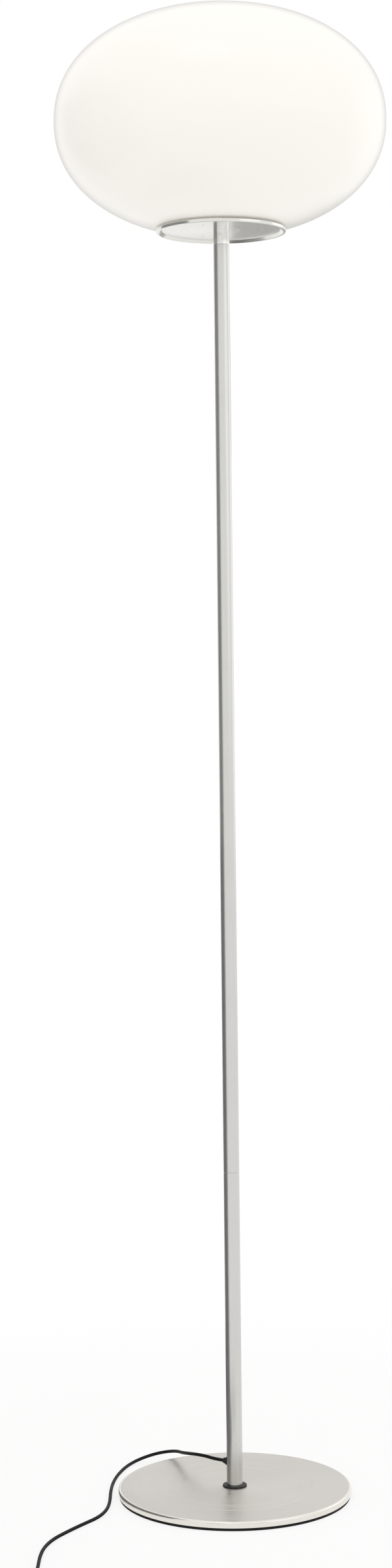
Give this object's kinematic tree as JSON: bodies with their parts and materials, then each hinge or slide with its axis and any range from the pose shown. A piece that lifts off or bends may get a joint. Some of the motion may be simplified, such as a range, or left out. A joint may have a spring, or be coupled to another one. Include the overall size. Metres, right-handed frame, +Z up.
{
  "type": "globe floor lamp",
  "caption": "Floor lamp: a flattened opal glass globe on a shallow metal dish, a thin brushed pole on a round weighted base, and a cord with a foot switch and a plug.",
  "frame": {"origin": "centre of the base's underside, on the floor", "axes": "+Z up along the pole's axis; -Y towards the viewer; the cord leaves the pole towards -X and +Y"},
  "size_m": [0.4238, 0.5916, 1.7871],
  "materials": {
    "nickel_brushed": "brushed, clear lacquered",
    "nickel_bright": "polished",
    "steel_raw": "as rolled",
    "steel_zinc": "zinc plated",
    "rubber_black": "matte",
    "plastic_black": "fine matte",
    "silicone": "satin",
    "opal_glass": "satin opal",
    "bulb_glass": "frosted",
    "insulator_glass": "gloss",
    "holder_plastic": "gloss",
    "core_plastic": "satin",
    "brass": "bare",
    "pin_nickel": "nickel plated",
    "cap_aluminium": "satin",
    "wire": "satin",
    "cord_black": "satin",
    "button_grey": "fine matte"
  },
  "bodies": {
    "stand": {"base_cover": "nickel_brushed", "base_weight": "steel_raw", "base_pad": "rubber_black", "base_bolt": "steel_zinc", "foot_ring": "plastic_black", "pole_lower": "nickel_brushed", "pole_upper": "nickel_brushed", "foot_plug": "steel_zinc", "joint_socket": "steel_zinc", "joint_stud": "steel_zinc", "head_plug": "steel_zinc", "inner_lead": "cord_black", "cord_bushing": "plastic_black", "neck_sleeve": "nickel_bright", "dish": "nickel_brushed", "globe_gasket": "silicone", "head_nipple": "steel_zinc", "head_washer": "steel_zinc", "head_nut": "steel_zinc", "globe_clip_1": "steel_zinc", "globe_clip_2": "steel_zinc", "globe_clip_3": "steel_zinc", "clip_rivets": "steel_zinc", "holder_cap": "holder_plastic", "holder_core": "core_plastic", "holder_sleeve": "holder_plastic", "holder_thread": "brass", "holder_contact": "brass", "holder_terminals": "brass", "holder_wires": "wire", "cord_lamp_side": "cord_black", "switch_base": "plastic_black", "switch_cover": "plastic_black", "switch_block": "core_plastic", "switch_terminals": "brass", "switch_wires": "wire", "switch_screws": "steel_zinc", "switch_relief_lamp": "rubber_black", "switch_relief_plug": "rubber_black", "cord_to_coil": "cord_black", "cord_coil": "cord_black", "coil_ties": "plastic_black", "cord_to_plug": "cord_black", "plug_body": "plastic_black", "plug_pins": "pin_nickel", "pin_sleeves": "plastic_black"},
    "glass": {"globe": "opal_glass"},
    "bulb_foot": {"bulb_contact": "pin_nickel", "bulb_insulator": "insulator_glass"},
    "bulb": {"bulb_cap": "cap_aluminium", "bulb_envelope": "bulb_glass"},
    "foot_button": {"switch_button": "button_grey", "switch_plunger": "button_grey"}
  },
  "joints": [
    {"name": "globe_lift", "type": "slide", "parent": "stand", "child": "glass", "axis": [0, 0, 1], "range_m": [0, 0.18]},
    {"name": "bulb_rise", "type": "slide", "parent": "stand", "child": "bulb_foot", "axis": [0, 0, 1], "range_m": [0, 0.01815]},
    {"name": "bulb_turn", "type": "hinge", "parent": "bulb_foot", "child": "bulb", "pos_m": [0, 0, 1.6], "axis": [0, 0, 1], "range_deg": [0, 1800]},
    {"name": "button_press", "type": "slide", "parent": "stand", "child": "foot_button", "axis": [0, 0, -1], "range_m": [0, 0.003], "stiffness_N_per_m": 500, "springref_m": -0.002}
  ],
  "couplings": [
    {"joint": "bulb_turn", "follows": "bulb_rise", "rad_per_m": 1730.9}
  ]
}
